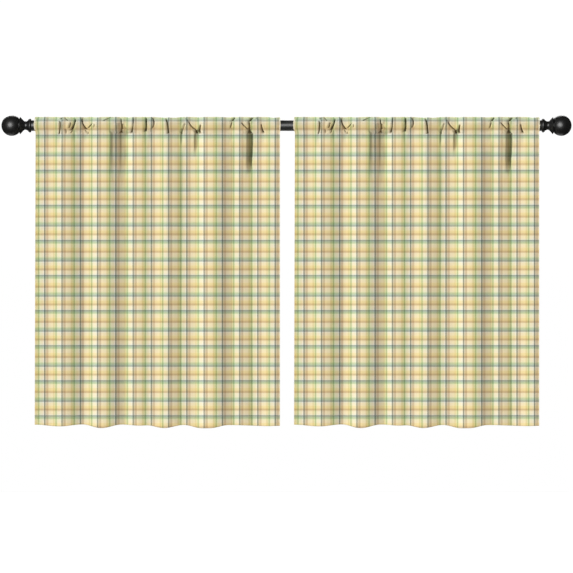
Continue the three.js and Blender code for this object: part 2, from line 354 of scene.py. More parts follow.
def read_table(made, column, x, shape=lambda t, _: ease(t)):
    """A table's column at x, with a given shape between the rows on either side."""
    values = getattr(made, column)
    n = np.clip(np.searchsorted(made.at, x), 1, len(made.at) - 1)
    a, b = values[n - 1], values[n]
    t = (x - made.at[n - 1]) / (made.at[n] - made.at[n - 1])
    return mix(a, b, shape(t, a > b))


def ripple(x, wave):
    """A smooth wave between about -1 and 1, whose length and height drift."""
    drift = 1.7 * np.sin(x / (3.3 * wave) + 0.6)
    height = 0.7 + 0.3 * np.sin(x / (5.1 * wave))
    return np.sin(x / wave + drift) * height


def ledges_out(x, free):
    """The ledges' part of how far the face stands out, at a depth below what is sewn down."""
    out = 0 * x
    for ledge in rows_of(LEDGES):
        low = ledge.low + ledge.lean * ease(free / ledge.reach)
        fall = np.clip((x - ledge.start) / (low - ledge.start), 0, 1)
        rise = ease((x - low) / ledge.back)
        lasting = 1 - ease((free - ledge.hold) / (ledge.reach - ledge.hold))
        fall = 1 - (1 - mix(fall, ease(fall), LEDGE_ROUND)) ** LEDGE_HOLLOW
        out = out - ledge.depth * (fall - rise) * lasting
    return out


def ledge_shade(x, depth):
    """How much shade is painted into the cloth's colour where a ledge falls steeply, from 0 to 1."""
    free = np.clip(depth - SEAM_ALLOWANCE, 0, FREE_LENGTH)
    slope = ledges_out(x - 0.5, free) - ledges_out(x + 0.5, free)
    return LEDGE_SHADE * np.clip((slope - SHADE_FROM_SLOPE) / SHADE_OVER_SLOPE, 0, 1)


def face_out(x, depth):
    """How far the face stands towards the room at x, at a depth below the seam."""
    free = np.clip(depth - SEAM_ALLOWANCE, 0, FREE_LENGTH)
    opening = mix(FOLD_AT_SEAM, 1, ease(free / FOLD_START))
    spread = mix(1, FOLD_AT_HEM, free / FREE_LENGTH)
    swayed = x + SWAY * np.sin(depth / SWAY_DOWN + x / SWAY_ACROSS) * opening
    out = read_table(FOLDS, "out", np.clip(swayed, 0, PANEL_WIDTH), fold_shape) * opening * spread
    for trough in rows_of(TROUGHS):
        side = np.where(x < trough.at, trough.left, trough.right)
        out = out - trough.depth * bell((x - trough.at) / side) * (1 - ease(free / trough.reach))
    out = out + ledges_out(x, free)
    below = np.maximum(depth, 0)
    out = out + SEAM_PUCKER * ripple(x, SEAM_PUCKER_WAVE) * bell(below / SEAM_PUCKER_REACH)
    along_side = ripple(depth + SIDE_PUCKER_SKEW * x / PANEL_WIDTH, SIDE_PUCKER_WAVE)
    near_side = bell(to_edge(x) / SIDE_PUCKER_REACH) * ease(below / SIDE_PUCKER_START)
    return out + SIDE_PUCKER * along_side * near_side


def gathered(x):
    """1 at a gather, 0 well away from all of them."""
    return np.max([bell((x - at) / GATHER_WIDTH) for at in GATHERS], axis=0)


def curve(start, pull, end, steps=12):
    """Points of a quadratic curve, without its start."""
    t = (np.arange(steps) + 1)[:, None] / steps
    a, b, c = np.array(start), np.array(pull), np.array(end)
    return ((1 - t) ** 2 * a + 2 * t * (1 - t) * b + t ** 2 * c).tolist()


def front_profile():
    """The pocket's front as (in front of the axis, above it), from the seam to the top: upright above
    the seam, leaning out past the rod, and rounded over it."""
    points = [[SEAM_FORWARD, -SEAM_BELOW]]
    points += curve(points[-1], (12, -14), (14.6, -7.5))
    points += curve(points[-1], (17, -1.5), (18.8, 6))
    points += curve(points[-1], (20.3, 12.2), (13.5, 19))
    return np.array(points + curve(points[-1], (11, 21), (0, POCKET_TOP)))


def crown(angle):
    """How far into the crown an angle up from straight below the rod is, from 0 to 1."""
    return ease((angle - CROWN_FROM) / (np.pi - CROWN_FROM))


def crown_drop(angle, x):
    """How far the dips lower the pocket's top."""
    return crown(angle) * sum(dip.deep * bell((x - dip.at) / dip.wide) for dip in rows_of(TOP_DIPS))


def front_radius(angle, x):
    """The front's distance from the rod's axis, at an angle up from straight below it."""
    out, up = front_profile().T
    radius = np.interp(angle, np.arctan2(out, -up), np.hypot(out, up))
    return radius - GATHER_DRAW * gathered(x) * np.sin(angle) ** 2 - crown_drop(angle, x)


def back_radius(angle, x):
    """The back's distance from the rod's axis, at an angle up from straight below it, away from the
    room: straight from the seam to where it meets the round stretch, and then rising to the crown."""
    from_seam = angle + SEAM_ANGLE
    seam_angle = np.arcsin(POCKET_RADIUS / SEAM_DISTANCE)
    straight = SEAM_DISTANCE * np.sin(seam_angle) / np.sin(seam_angle + from_seam)
    round_part = straight if from_seam < np.pi / 2 - seam_angle else POCKET_RADIUS
    puff = POCKET_PUFF * (1 - PUFF_LOST_AT_GATHER * gathered(x)) * np.sin(max(angle, 0) / 2) ** 2
    puff = puff - BACK_GATHER_DRAW * gathered(x - BACK_GATHER_SHIFT) * np.sin(max(angle, 0)) ** 2
    rise = (POCKET_TOP - POCKET_RADIUS - POCKET_PUFF) * crown(angle)
    return round_part + rise + puff - crown_drop(angle, x)


def seam_held(z):
    """How far the pocket's front still follows the folds of the face, just above the seam."""
    return 1 - ease((z + SEAM_BELOW) / SEAM_HOLD_HEIGHT)


def crease_moves(x, z):
    """How far the creases move the pocket's front inwards and sideways, and how much shade is painted
    into its colour inside one.
    """
    inward, lip, sideways, inside = (np.zeros_like(x) for _ in range(4))
    for crease in rows_of(CREASES):
        down = np.clip((crease.top_z - z) / (crease.top_z - crease.low_z), 0, 1)
        centre = mix(crease.top_at, crease.low_at, down) + crease.bow * 4 * down * (1 - down)
        wide = CREASE_WIDER * crease.wide * (1 + crease.spread * down ** 2)
        ends = ease((crease.top_z + CREASE_END - z) / (2 * CREASE_END))
        ends = ends * ease((z - crease.low_z + CREASE_END) / (2 * CREASE_END))
        if crease.low_z > -SEAM_BELOW:
            ends = ends * ease((z + SEAM_BELOW) / CREASE_END)
        off = (x - centre) / wide
        away = np.abs(off)
        dent = ends / (1 + (away / CREASE_EDGE) ** CREASE_STEEPNESS)
        inward = np.maximum(inward, crease.deep * dent)
        # inside: shade painted into the colour, which grows with the crease's depth.
        inside = np.maximum(inside, min(1.0, crease.deep / CREASE_FULL) * dent)
        lip = np.maximum(lip, CREASE_LIP * ends * bell(away - CREASE_LIP_AT))
        near = ease((away - CREASE_PINCH_FROM) / (1 - CREASE_PINCH_FROM))
        near = near * (1 - ease((away - 1) / CREASE_PINCH_REACH))
        share = min(1.0, crease.deep / CREASE_PINCH_FULL)
        sideways = sideways - np.sign(off) * wide * CREASE_PINCH * share * ends * near
        sideways = sideways + CREASE_LEAN * wide * dent
    return inward - lip * (inward < CREASE_LIP_OUTSIDE), sideways, inside


def front_point(angle, x):
    """A row of the pocket's front, whose creases stop short of the rod."""
    radius = front_radius(angle, x)
    z = -radius * np.cos(angle)
    held = seam_held(z)
    y = -radius * np.sin(angle) - LAYER_STEP / 2 - held * face_out(x + SEAM_SKEW * (1 - held), 0)
    lasting = 1 - ease((angle - POCKET_FOLD_HIGH) / (POCKET_FOLD_ENDS - POCKET_FOLD_HIGH))
    y = y - (1 - held) * lasting * read_table(POCKET_FOLDS, "out", x, fold_shape)
    rod_front = np.sqrt(np.maximum(ROD_CLEARANCE ** 2 - z ** 2, 0))
    y = np.where(np.abs(z) < ROD_CLEARANCE, np.minimum(y, -rod_front - FOLD_CLEARANCE), y)
    inward, sideways, inside = crease_moves(x, z)
    # Shade painted into the colour: inside the creases, and under the steep ledges just above the seam.
    painted_shade = np.maximum(inside, held * ledge_shade(x + SEAM_SKEW * (1 - held), 0))
    room = np.minimum(np.maximum(-y - rod_front, 0), CREASE_MOST_OF_RADIUS * radius * np.sin(angle))
    inward = np.minimum(inward, room)
    lean = max(angle, CREASE_LEAST_ANGLE)
    flare = np.maximum(0, 1 - to_edge(x) / MOUTH_REACH) ** 2 * (1 - held) * np.sin(angle) ** 2
    x = x + np.where(x < PANEL_WIDTH / 2, -MOUTH_FLARE_LEFT, MOUTH_FLARE_RIGHT) * flare + sideways
    return x, y + inward * np.sin(lean), z + CREASE_LIFT * inward * np.cos(lean), painted_shade


def back_point(angle, x):
    """A row of the pocket's back."""
    radius = back_radius(angle, x)
    held = 1 - ease((angle + SEAM_ANGLE) / SEAM_HOLD_ANGLE)
    y = radius * np.sin(angle) + LAYER_STEP / 2 - held * face_out(x, 0)
    return x, y, -radius * np.cos(angle), 0 * x


def hem_height(x):
    return POCKET_TOP - PANEL_LENGTH - read_table(HEM_LINE, "drop", x) + CLOTH / 2


def leaning(x, depth):
    """The left side edge leans out on its way down, and the right one hangs straight."""
    return x + EDGE_LEAN * (1 - x / PANEL_WIDTH) * depth / PANEL_LENGTH


def hanging_point(x, z, layer):
    """A row of a hanging layer. layer is 0 for the face and 1 for what is turned behind it."""
    depth = -SEAM_BELOW - z
    y = (layer - 0.5) * LAYER_STEP - SEAM_FORWARD - face_out(x, depth)
    from_stitches = (depth, z - hem_height(x) - HEM_STITCH, to_edge(x) - SIDE_STITCH)
    groove = sum(deep * bell(off / wide) for (deep, wide), off in zip(GROOVES, from_stitches))
    return leaning(x, depth), y + groove * (1 - 2 * layer), z, (1 - layer) * ledge_shade(x, depth)


def cloth_row(part, value, x):
    """Along one row, the middle of the cloth as x, y and z, and how much shade is painted into its
    colour.
    """
    hem = hem_height(x)
    if part == "turn":
        return hanging_point(x, hem + value, 1)
    if part == "bend":
        depth, bend = -SEAM_BELOW - hem, LAYER_STEP / 2
        y = -bend * np.cos(value) - SEAM_FORWARD - face_out(x, depth)
        return leaning(x, depth), y, hem - bend * np.sin(value) + bend, 0 * x
    if part == "face":
        return hanging_point(x, mix(-SEAM_BELOW, hem, value / FACE_LENGTH), 0)
    if part == "under":
        return hanging_point(x, -SEAM_BELOW - value + 0 * x, 1)
    return front_point(value, x) if part == "front" else back_point(value, x)


def column_places():
    """Places of the fine columns across the panel, and which of them are coarse ones too."""
    low = np.minimum(CREASES.top_at, CREASES.low_at) + np.minimum(CREASES.bow, 0)
    high = np.maximum(CREASES.top_at, CREASES.low_at) + np.maximum(CREASES.bow, 0)
    margin = CREASE_MARGIN * CREASES.wide * (1 + CREASES.spread)
    first = EDGE_COLUMNS[-1]
    fine = [first]
    while fine[-1] < PANEL_WIDTH - first:
        here = fine[-1]
        gap = np.min(np.maximum(np.maximum(low - margin - here, here - high - margin), 0))
        fine.append(here + min(FINE_STEP_MOST, FINE_STEP + FINE_STEP_GROWTH * gap))
    fine = first + (np.array(fine) - first) * (PANEL_WIDTH - 2 * first) / (fine[-1] - first)
    edge = np.array(EDGE_COLUMNS[:-1])
    places = np.concatenate([edge, fine, PANEL_WIDTH - edge[::-1]])
    coarse = [0]
    for n in range(1, len(places)):
        here = places[n]
        past_low = here - LEDGES.low - np.minimum(LEDGES.back, LEDGE_RISE_MOST)
        at_ledge = np.min(np.maximum(LEDGES.start - here, past_low)) < LEDGE_MARGIN
        step = LEDGE_STEP if at_ledge else COARSE_STEP
        if to_edge(here) <= SIDE_HEM + 0.2 or here - places[coarse[-1]] >= step:
            coarse.append(n)
    return places, np.array(coarse)


def plaid_down(rows, middle, places, plain):
    """How far down the plaid each point is: by height on the hanging face, and by the length of cloth
    elsewhere. plain holds the rows at one plain column."""
    steps, _ = steps_along(plain)
    down = np.empty(middle.shape[:2])
    hem = hem_height(places)
    for n, (part, _, _) in enumerate(rows):
        if part == "turn":
            down[n] = -hem + (middle[n, :, 2] - hem)
        elif part in ("bend", "face"):
            down[n] = -middle[n, :, 2]
        elif part == "front":
            rise = plain[n, 2] - plain[n - 1, 2]
            down[n] = down[n - 1] - max(rise, LEAST_RISE_SHARE * steps[n - 1])
        else:
            down[n] = down[n - 1] - steps[n - 1]
    return down


def panel_grid():
    """Every row of the cloth at every column: its middle and both sides, its place in the flat cloth and
    the shade painted into its colour."""
    places, coarse = column_places()
    rows = [(part, value, fine) for part, fine, values in ROWS for value in values]

    def at(x):
        return np.array([np.array(cloth_row(part, value, x)).T for part, value, _ in rows])

    made = at(places)
    middle = made[..., :3]
    normal = unit(np.cross(np.gradient(middle, axis=1), np.gradient(middle, axis=0)))
    parts = np.array([part for part, _, _ in rows])
    # The rows with nothing turned behind them, where the side hems show on the reverse.
    depth = np.array([value if part == "face" else 0 for part, value, _ in rows])
    single = (depth > SEAM_ALLOWANCE + 1) & (depth < FACE_LENGTH - HEM_TURN - 3)
    hemmed = single[:, None] & (to_edge(places) < SIDE_HEM)[None, :]
    plain = at(np.array([PLAIN_COLUMN]))[:, 0, :3]
    down = plaid_down(rows, middle, places, plain)
    across = np.where((parts == "front")[:, None], places, middle[..., 0])
    return SimpleNamespace(
        places=places, coarse=coarse, parts=parts, values=[value for _, value, _ in rows],
        fine=np.array([is_fine for _, _, is_fine in rows]), single=single, hemmed=hemmed,
        middle=middle, normal=normal, face=middle + normal * CLOTH / 2,
        reverse=middle - normal * (CLOTH / 2 + SIDE_THICKER * hemmed)[..., None],
        flat=np.stack([across, down], axis=2), travel=steps_along(plain)[1], painted_shade=made[..., 3],
    )


# ---- meshes

def new_object(name, data):
    made = bpy.data.objects.new(name, data)
    bpy.context.scene.collection.objects.link(made)
    return made


def new_piece(name, vertices, faces, materials, sharp):
    """A smooth-shaded object from places in millimetres."""
    mesh = bpy.data.meshes.new(name)
    mesh.from_pydata((np.asarray(vertices) * MM).tolist(), [], faces)
    mesh.polygons.foreach_set("use_smooth", [True] * len(mesh.polygons))
    mesh.set_sharp_from_angle(angle=np.radians(sharp))
    for material in materials:
        mesh.materials.append(material)
    return new_object(name, mesh)


def belongs(made, slot, *nodes):
    """Rides on the one body and stands for CAD nodes, which it hides. slot is not used."""
    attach(made, "root")
    if nodes:
        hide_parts(*nodes)
    return made


def strip_faces(bottom, top, spots):
    """Triangles between two runs of corners, which are joined by the shorter way across."""
    def apart(a, b):
        return sum((p - q) ** 2 for p, q in zip(spots[a], spots[b]))

    made = []
    while len(bottom) + len(top) > 2:
        if len(bottom) == 1 or (len(top) > 1 and apart(bottom[0], top[1]) < apart(bottom[1], top[0])):
            made.append([bottom[0], top[1], top[0]])
            top = top[1:]
        else:
            made.append([bottom[0], bottom[1], top[0]])
            bottom = bottom[1:]
    return made


def panel_piece(name, grid, centre, materials):
    """One panel as a closed sheet. The reverse has the face's corners again, numbered on from them, and
    is cut into the same triangles. looks: 0 for the cloth's face, 1 for its paler reverse."""
    used = np.zeros(grid.middle.shape[:2], bool)
    used[:, grid.coarse] = True
    used[grid.fine] = True
    half = int(used.sum())
    number = np.full(used.shape, -1)
    number[used] = np.arange(half)
    spots = grid.middle[used].tolist()
    at_lip = to_edge(grid.places) < 1
    faces, looks = [], []

    def run(n, left, right):
        """The face's corners along a row, from one column to another."""
        step = 1 if grid.fine[n] else right - left
        return number[n, left:right + 1:step].tolist()

    def edge(corners, flip):
        """The narrow faces that join the two sides along one edge."""
        for a, b in zip(corners, corners[1:]):
            faces.append([a + half, b + half, b, a] if flip else [a, b, b + half, a + half])
            looks.append(0)

    for n in range(len(number) - 1):
        all_fine = grid.fine[n] and grid.fine[n + 1]
        columns = list(range(len(grid.places))) if all_fine else grid.coarse.tolist()
        stretches = [
            (left, right, strip_faces(run(n, left, right), run(n + 1, left, right), spots))
            for left, right in zip(columns, columns[1:])
        ]
        turned_out = grid.parts[n] == "front" and MOUTH_LIP_FROM < grid.values[n] < MOUTH_LIP_TO
        for left, right, made in stretches:
            faces += made
            looks += [int(turned_out and (at_lip[left] or at_lip[right]))] * len(made)
        for left, right, made in stretches:
            faces += [[corner + half for corner in triangle[::-1]] for triangle in made]
            rising = grid.hemmed[n, left] and grid.hemmed[n + 1, right]
            falling = grid.hemmed[n, right] and grid.hemmed[n + 1, left]
            looks += [int(not (rising or falling))] * len(made)
    edge_from = len(faces)
    edge(number[:, 0].tolist(), False)
    edge(number[:, -1].tolist(), True)
    edge(number[0, grid.coarse].tolist(), True)
    edge(number[-1, grid.coarse].tolist(), False)
    vertices = np.concatenate([grid.face[used], grid.reverse[used]]) + [centre - PANEL_WIDTH / 2, 0, 0]
    made = new_piece(name, vertices, faces, materials, sharp=50)
    made.data.polygons.foreach_set("material_index", looks)
    lay_cloth_maps(made.data, grid, used, edge_from)
    # edge: marks the hem's folded edge, where shade is painted into the colour on both sides.
    at_bend = np.broadcast_to((grid.parts == "bend")[:, None], used.shape)[used]
    # crease: shade painted into the face's colour inside the creases and where the ledges fall steeply;
    # the reverse gets none.
    painted_shade = grid.painted_shade[used]
    for label, values in (("edge", np.tile(at_bend, 2)), ("crease", np.append(painted_shade, 0 * painted_shade))):
        attribute = made.data.attributes.new(label, "FLOAT", "POINT")
        attribute.data.foreach_set("value", values.astype(np.float32))
    return made


def lay_cloth_maps(mesh, grid, used, edge_from):
    """The map that the plaid reads, in metres of cloth, and the map that a bake may use, where the
    face, the reverse and each edge have a place of their own."""
    turned = grid.flat.copy()
    mirror = np.where(grid.places < PANEL_WIDTH / 2, 0, 2 * PANEL_WIDTH)
    turned[..., 0] = np.where(grid.hemmed, mirror - grid.flat[..., 0], grid.flat[..., 0])
    cloth = (np.concatenate([grid.flat[used], turned[used]]) - [PLAID_PHASE, 0]) * MM
    corners = np.empty(len(mesh.loops), int)
    mesh.loops.foreach_get("vertex_index", corners)

    chart = np.stack(np.broadcast_arrays(grid.places, grid.travel[:, None]), axis=2)[used] + BAKE_GAP
    charts = np.concatenate([chart, chart + [1.5 * BAKE_GAP + PANEL_WIDTH, 0]])
    spots = charts[corners]
    side = len(grid.middle) - 1
    for n, polygon in enumerate(mesh.polygons[edge_from:]):
        start = polygon.loop_start
        loop = corners[start:start + 4]
        on_side = n < 2 * side
        lane = n // side if on_side else 2 + (n - 2 * side) // (len(grid.coarse) - 1)
        base = 2 * BAKE_GAP + grid.travel[-1] + lane * (BAKE_STRIP + BAKE_GAP)
        spots[start:start + 4, 0] = chart[loop % len(chart)][:, 1 if on_side else 0]
        spots[start:start + 4, 1] = base + BAKE_STRIP * (loop >= len(chart))
    spots /= 2 * PANEL_WIDTH + 4 * BAKE_GAP
    for name, places in (("Cloth", cloth[corners]), ("OFBake", spots)):
        mesh.uv_layers.new(name=name).data.foreach_set("uv", places.ravel())
    mesh.uv_layers.active = mesh.uv_layers["Cloth"]


def stitch_run(points, normals):
    """Corners and faces of a row of stitches that follow the points, lying on the cloth."""
    _, travel = steps_along(points)
    starts = np.arange(STITCH_PITCH / 2, travel[-1] - STITCH_PITCH, STITCH_PITCH)
    sides = STITCH_SIDES

    def at(places, values):
        return np.stack([np.interp(places, travel, values[:, k]) for k in range(3)], axis=1)

    forward = unit(at(starts + STITCH_LENGTH, points) - at(starts, points))
    up = at(starts, normals)
    up = unit(up - forward * np.sum(up * forward, axis=1, keepdims=True))
    side = np.cross(forward, up)
    corners = []
    for share, thick, rise in STITCH_RINGS:
        middle = at(starts + share * STITCH_LENGTH, points) + up * rise * THREAD_RADIUS
        for angle in 2 * np.pi * np.arange(sides) / sides:
            out = np.cos(angle) * side + np.sin(angle) * up
            corners.append(middle + THREAD_RADIUS * thick * out)
    corners = np.array(corners).transpose(1, 0, 2).reshape(-1, 3)
    pattern = []
    for ring in range(len(STITCH_RINGS) - 1):
        for n in range(sides):
            a, b = ring * sides + n, ring * sides + (n + 1) % sides
            pattern.append([a, a + sides, b + sides, b])
    each = len(STITCH_RINGS) * sides
    pattern.append(list(range(sides)))
    pattern.append(list(range(each - 1, each - sides - 1, -1)))
    return corners, [[each * n + k for k in face] for n in range(len(starts)) for face in pattern]


def stitches_piece(name, grid, centre, material):
    """A panel's stitches along the pocket's seam and the hems, on both of its sides."""
    names = list(zip(grid.parts, grid.values))
    inside = grid.coarse[2:-2]
    runs = []
    for row in (
        ("front", SEAM_ANGLE), ("back", -SEAM_ANGLE),
        ("face", FACE_LENGTH - HEM_STITCH), ("turn", HEM_STITCH),
    ):
        n = names.index(row)
        runs.append((grid.face[n, inside], grid.normal[n, inside]))
    hanging = grid.parts == "face"
    for edge in (SIDE_STITCH, PANEL_WIDTH - SIDE_STITCH):
        column = int(np.argmin(np.abs(grid.places - edge)))
        runs.append((grid.face[hanging, column], grid.normal[hanging, column]))
        runs.append((grid.reverse[grid.single, column], -grid.normal[grid.single, column]))
    vertices, faces = [], []
    for points, normals in runs:
        corners, pattern = stitch_run(points, normals)
        shift = sum(len(v) for v in vertices)
        vertices.append(corners)
        faces += [[corner + shift for corner in face] for face in pattern]
    vertices = np.concatenate(vertices) + [centre - PANEL_WIDTH / 2, 0, 0]
    return new_piece(name, vertices, faces, [material], sharp=70)


# ---- rod and finials

def rounded(corners):
    """A closed outline with its corners slightly rounded, other than on the axis or along a curve."""
    corners = np.array(corners, float)
    made = []
    for n, here in enumerate(corners):
        before = corners[n - 1] - here
        after = corners[(n + 1) % len(corners)] - here
        lengths = np.linalg.norm(before), np.linalg.norm(after)
        turn = np.dot(before, after) / (lengths[0] * lengths[1])
        if here[0] < ON_AXIS or turn < NEARLY_STRAIGHT:
            made.append(here.tolist())
            continue
        cut = min(EDGE_ROUND, EDGE_ROUND_SHARE * lengths[0], EDGE_ROUND_SHARE * lengths[1])
        start = here + before / lengths[0] * cut
        end = here + after / lengths[1] * cut
        made += [start.tolist()] + curve(start, here, end, 3)
    return made


def turned_piece(name, outline, material, origin, inwards, sides=96):
    """An outline of (radius, place along the rod) turned about the rod's axis. Places count from
    origin, and inwards is 1 where they run along +X."""
    outline = rounded(outline)
    vertices, rings = [], []
    for radius, place in outline:
        x = origin + inwards * place
        if radius < ON_AXIS:
            rings.append([len(vertices)] * sides)
            vertices.append((x, 0, 0))
            continue
        rings.append(list(range(len(vertices), len(vertices) + sides)))
        angles = 2 * np.pi * np.arange(sides) / sides
        vertices += [(x, radius * np.cos(angle), radius * np.sin(angle)) for angle in angles]
    faces = []
    closed = outline[0][0] > ON_AXIS
    pairs = list(zip(rings, rings[1:])) + ([(rings[-1], rings[0])] if closed else [])
    for here, after in pairs:
        for n in range(sides):
            loop = [here[n], here[(n + 1) % sides], after[(n + 1) % sides], after[n]]
            loop = [corner for k, corner in enumerate(loop) if corner != loop[k - 1]]
            faces.append(loop if inwards > 0 else loop[::-1])
    return new_piece(name, vertices, faces, [material], sharp=55)


def ball_outline():
    flat_angle = np.arcsin((BALL_FLAT_AT - BALL_RADIUS) / BALL_RADIUS)
    angles = np.linspace(-np.pi / 2, flat_angle, BALL_STEPS)
    socket_end = BALL_FLAT_AT - TENON_LENGTH - FIT_GAP
    points = [[BALL_RADIUS * np.cos(a), BALL_RADIUS + BALL_RADIUS * np.sin(a)] for a in angles]
    points[0][0] = 0
    socket = TENON_RADIUS + FIT_GAP
    return points + [[socket, BALL_FLAT_AT], [socket, socket_end], [0, socket_end]]


def neck_outline():
    back_at = BALL_FLAT_AT + FIT_GAP
    tenon_at, spigot_at = back_at - TENON_LENGTH, BEAD_END + SPIGOT_LENGTH
    spigot = ROD_RADIUS - ROD_WALL - FIT_GAP
    points = [[0, tenon_at], [TENON_RADIUS, tenon_at], [TENON_RADIUS, back_at]]
    points += [[COLLAR_LIP_RADIUS + out, back_at + along] for out, along in COLLAR_LIP]
    rim = [COLLAR_RIM_RADIUS, COLLAR_RIM_AT]
    points += curve(points[-1], [COLLAR_BACK_RADIUS + 1, back_at + 2.3], rim)
    points += [[COVE_START_RADIUS, COVE_START]]
    waist = [COVE_RADIUS, (COVE_START + COVE_END) / 2 - 1]
    points += curve(points[-1], [COVE_RADIUS, COVE_START + 2.2], waist)
    points += curve(waist, [COVE_RADIUS, COVE_END - 3], [COVE_END_RADIUS, COVE_END])
    points += curve(points[-1], [BEAD_RADIUS, COVE_END + 2], [BEAD_RADIUS, BEAD_AT])
    points += curve(points[-1], [BEAD_RADIUS, BEAD_END], [ROD_RADIUS, BEAD_END])
    return points + [[spigot, BEAD_END], [spigot, spigot_at], [0, spigot_at]]


def rod_outline(half):
    bore = ROD_RADIUS - ROD_WALL
    return [[bore, -half], [ROD_RADIUS, -half], [ROD_RADIUS, half], [bore, half]]


# ---- materials

# The plaid, as (width in millimetres, red, green, blue), with each colour as seen over a cream cross
# thread. The warp starts at the left side of a blue stripe, and the weft at the top of one.
CREAM = (237, 224, 191)
BRIGHTEST = (246, 238, 206)
WARP_REPEAT = 87.5
WARP = (
    (3.1, 142, 141, 120), (2.6, 208, 196, 168), (4.2, 200, 181, 148), (1.0, 214, 196, 159),
    (6.4, 230, 216, 179), (4.8, 235, 221, 179), (3.6, 222, 208, 159), (1.9, 233, 226, 177),
    (3.4, 190, 194, 144), (2.2, 232, 229, 189), (5.8, 241, 230, 196), (2.0, 242, 234, 205),
    (1.5, 233, 225, 199), (2.9, 144, 144, 122), (2.7, 209, 198, 171), (4.7, 202, 184, 150),
    (4.1, 235, 220, 182), (7.9, 230, 216, 178), (1.2, 223, 208, 165), (3.2, 210, 197, 148),
    (2.8, 208, 203, 153), (3.0, 170, 175, 124), (1.4, 206, 208, 165), (1.6, 223, 219, 180),
    (3.0, 219, 212, 177), (3.2, 223, 212, 180), (2.7, 229, 221, 197),
)
WEFT_REPEAT = 86.4
WEFT = (
    (2.6, 161, 166, 149), (2.4, 182, 189, 165), (2.0, 187, 196, 161), (2.4, 200, 205, 166),
    (3.4, 234, 226, 190), (5.0, 237, 223, 189), (1.8, 239, 223, 184), (4.6, 235, 217, 168),
    (2.6, 230, 207, 158), (2.8, 209, 186, 144), (1.9, 211, 189, 150), (8.4, 236, 222, 189),
    (1.6, 237, 226, 192), (2.6, 218, 216, 178), (2.4, 195, 202, 164), (2.8, 190, 198, 170),
    (2.4, 171, 176, 159), (2.2, 184, 183, 165), (2.0, 236, 228, 204), (5.6, 236, 222, 189),
    (2.4, 239, 223, 182), (4.8, 235, 216, 166), (2.4, 223, 200, 153), (2.6, 203, 181, 139),
    (2.6, 223, 203, 165), (5.6, 239, 224, 190), (3.0, 236, 223, 194), (1.7, 228, 223, 202),
)
FIRST_WEFT_BELOW_ROD = 23.0
FIRST_WARP_BEFORE_PHASE = 1.7
YARN_PITCH = 0.48
SLUB_LENGTH = 45
STRIPE_WAVER = 0.35
YARN_SHOWS = 0.35
PALE_REVERSE = (240, 232, 208)
THREAD_LIGHT, THREAD_DARK = (226, 205, 160), (200, 178, 132)

# How bright the lights make the face. Colours are given as they show, so this is divided out of them.
FACE_LIGHT = 1.66

# Painted shade: what is left of a colour where the shade painted inside a crease or on a steep ledge is
# full.
PAINTED_SHADE_COLOUR = (0.17, 0.135, 0.045)

# Where the colours cross, the dyes stand further from grey than the product of the two.
RED_OF_COLOUR = (1.17, -0.175, -0.018)
BLUE_OF_COLOUR = (-0.02, -0.066, 1.122)


def linear(colour):
    """An sRGB colour in 0 to 255 as linear light."""
    c = np.array(colour) / 255
    return np.where(c <= 0.04045, c / 12.92, ((c + 0.055) / 1.055) ** 2.4)


def lit(colour):
    """A base colour that shows as an sRGB colour in 0 to 255 once it is lit."""
    return (*(linear(colour) / FACE_LIGHT), 1)


class Graph:
    """Short calls that build the nodes of a material or of the world."""

    def __init__(self, owner):
        owner.use_nodes = True
        self.owner = owner
        self.tree = owner.node_tree

    def put(self, socket, value):
        if isinstance(value, bpy.types.NodeSocket):
            self.tree.links.new(value, socket)
        else:
            socket.default_value = value

    def add(self, kind, settings=None, output=0, **inputs):
        made = self.tree.nodes.new("ShaderNode" + kind)
        for name, value in (settings or {}).items():
            setattr(made, name, value)
        for name, value in inputs.items():
            self.put(made.inputs[name], value)
        return made.outputs[output]

    def maths(self, operation, *values, kind="Math", output=0):
        made = self.tree.nodes.new("ShaderNode" + kind)
        made.operation = operation
        for socket, value in zip(made.inputs, values):
            self.put(socket, value)
        return made.outputs[output]

    def vectors(self, operation, *values, output=0):
        return self.maths(operation, *values, kind="VectorMath", output=output)

    def scaled(self, vector, factor):
        return self.add("VectorMath", {"operation": "SCALE"}, Vector=vector, Scale=factor)

    def total(self, start, *parts):
        """start, and each part's value times its weight."""
        for value, weight in parts:
            start = self.maths("MULTIPLY_ADD", value, weight, start)
        return start

    def blend(self, factor, first, second):
        """A mix of two colours, on the sockets that are for colours."""
        made = self.tree.nodes.new("ShaderNodeMix")
        made.data_type = "RGBA"
        for socket, value in ((0, factor), (6, first), (7, second)):
            self.put(made.inputs[socket], value)
        return made.outputs[2]

    def own_place(self):
        return self.add("TexCoord", output=3)

    def point_value(self, name):
        return self.add("Attribute", {"attribute_name": name}, output=2)

    def noise(self, place, scale, detail):
        """Noise from about -0.5 to 0.5."""
        made = self.add("TexNoise", Vector=place, Scale=scale, Detail=detail)
        return self.maths("SUBTRACT", made, 0.5)

    def stripes(self, place, repeat, chart):
        """The chart's colours in turn along a place in millimetres."""
        share = self.maths("FRACT", self.maths("DIVIDE", place, repeat))
        made = self.tree.nodes.new("ShaderNodeValToRGB")
        ramp = made.color_ramp
        ramp.interpolation = "CONSTANT"
        total = sum(width for width, *_ in chart)
        at = 0
        for n, (width, *colour) in enumerate(chart):
            stop = ramp.elements[0] if n == 0 else ramp.elements.new(at / total)
            stop.color = (*(linear(colour) / linear(BRIGHTEST)), 1)
            at += width
        ramp.elements.remove(ramp.elements[-1])
        self.put(made.inputs[0], share)
        return made.outputs[0]

    def finish(self, **inputs):
        """Gives the material's shader its inputs, with _ for the spaces in their names."""
        shader = self.tree.nodes["Principled BSDF"]
        for name, value in inputs.items():
            self.put(shader.inputs[name.replace("_", " ")], value)
        return self.owner


